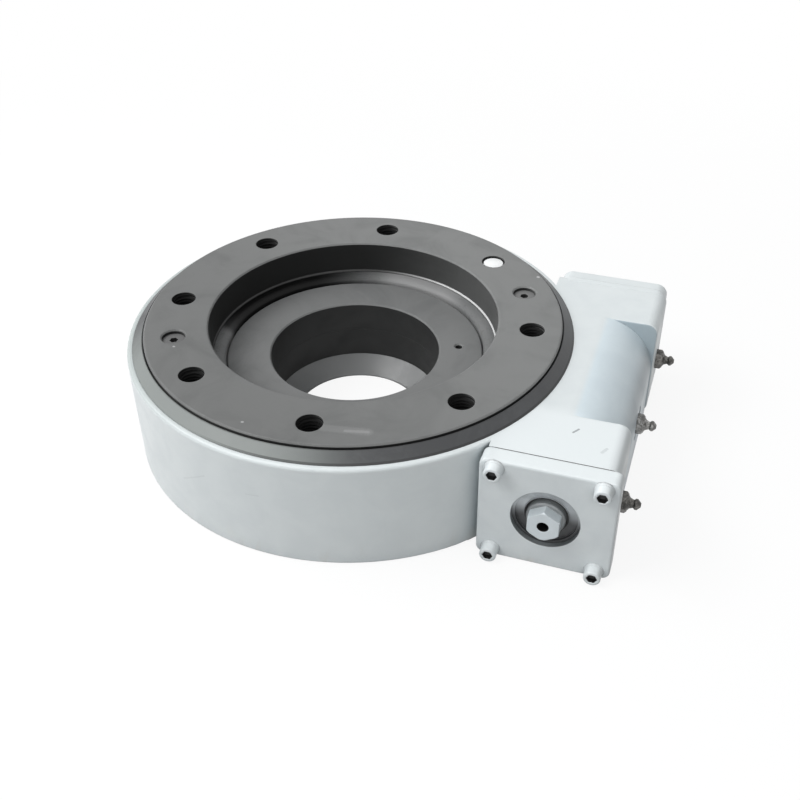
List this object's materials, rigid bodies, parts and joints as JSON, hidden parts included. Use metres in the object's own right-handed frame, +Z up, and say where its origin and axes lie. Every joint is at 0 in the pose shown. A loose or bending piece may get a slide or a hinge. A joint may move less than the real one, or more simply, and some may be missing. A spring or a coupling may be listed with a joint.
{
  "type": "worm slewing drive",
  "caption": "Enclosed worm slewing drive: painted cast housing with a side worm box, rotating bolt ring on a crossed roller bearing, hex worm shaft end and a central bore.",
  "frame": {"origin": "on the slew axis at the base face, at the centre of the base bolt circle", "axes": "+Z up along the slew axis, +X from the slew axis to the worm axis, worm axis along Y with its drive end towards -Y"},
  "size_m": [0.3055, 0.2564, 0.07],
  "materials": {
    "housing_paint": "satin grey-white paint on a casting",
    "cover_paint": "satin grey-white paint",
    "screw_paint": "painted over with the cover",
    "ring_steel": "dark phosphated turned steel",
    "inner_seal_steel": "smooth dark grey rubber",
    "seal_rubber": "matt dark rubber",
    "shaft_steel": "ground steel",
    "bearing_steel": "ground bearing steel",
    "cage_steel": "pressed sheet steel",
    "screw_steel": "black oxide steel",
    "gasket_sheet": "fibre sheet",
    "nipple_zinc": "zinc plated steel"
  },
  "bodies": {
    "base": {"housing": "housing_paint", "inner_ring_lower": "ring_steel", "inner_ring_upper": "ring_steel", "inner_ring_screws": "screw_steel", "dust_seal": "seal_rubber", "drive_end_cover": "cover_paint", "rear_end_cover": "cover_paint", "drive_cover_gasket": "gasket_sheet", "rear_cover_gasket": "gasket_sheet", "drive_cover_screws": "screw_paint", "drive_cover_washers": "screw_paint", "rear_cover_screws": "screw_paint", "oil_seal": "seal_rubber", "front_bearing_cup": "bearing_steel", "rear_bearing_cup": "bearing_steel", "grease_nipple_front": "nipple_zinc", "grease_nipple_middle": "nipple_zinc", "grease_nipple_rear": "nipple_zinc"},
    "slew_ring": {"slew_ring": "ring_steel", "inner_seal": "inner_seal_steel", "grease_port_plugs": "ring_steel"},
    "worm": {"worm_shaft": "shaft_steel", "front_bearing_cone": "bearing_steel", "rear_bearing_cone": "bearing_steel"},
    "slew_rollers": {"slew_rollers": "bearing_steel"},
    "front_roller_set": {"front_bearing_rollers": "bearing_steel", "front_bearing_cage": "cage_steel"},
    "rear_roller_set": {"rear_bearing_rollers": "bearing_steel", "rear_bearing_cage": "cage_steel"}
  },
  "joints": [
    {"name": "ring_slew", "type": "hinge", "parent": "base", "child": "slew_ring", "pos_m": [0, 0, 0], "axis": [0, 0, 1], "continuous": true},
    {"name": "worm_spin", "type": "hinge", "parent": "base", "child": "worm", "pos_m": [0.134, 0, 0.0315], "axis": [0, -1, 0], "continuous": true},
    {"name": "slew_roller_orbit", "type": "hinge", "parent": "base", "child": "slew_rollers", "pos_m": [0, 0, 0], "axis": [0, 0, 1], "continuous": true},
    {"name": "front_roller_orbit", "type": "hinge", "parent": "base", "child": "front_roller_set", "pos_m": [0.134, 0, 0.0315], "axis": [0, -1, 0], "continuous": true},
    {"name": "rear_roller_orbit", "type": "hinge", "parent": "base", "child": "rear_roller_set", "pos_m": [0.134, 0, 0.0315], "axis": [0, -1, 0], "continuous": true}
  ],
  "couplings": [
    {"joint": "worm_spin", "follows": "ring_slew", "ratio": 57},
    {"joint": "slew_roller_orbit", "follows": "ring_slew", "ratio": 0.532},
    {"joint": "front_roller_orbit", "follows": "ring_slew", "ratio": 23.489},
    {"joint": "rear_roller_orbit", "follows": "ring_slew", "ratio": 23.489}
  ]
}
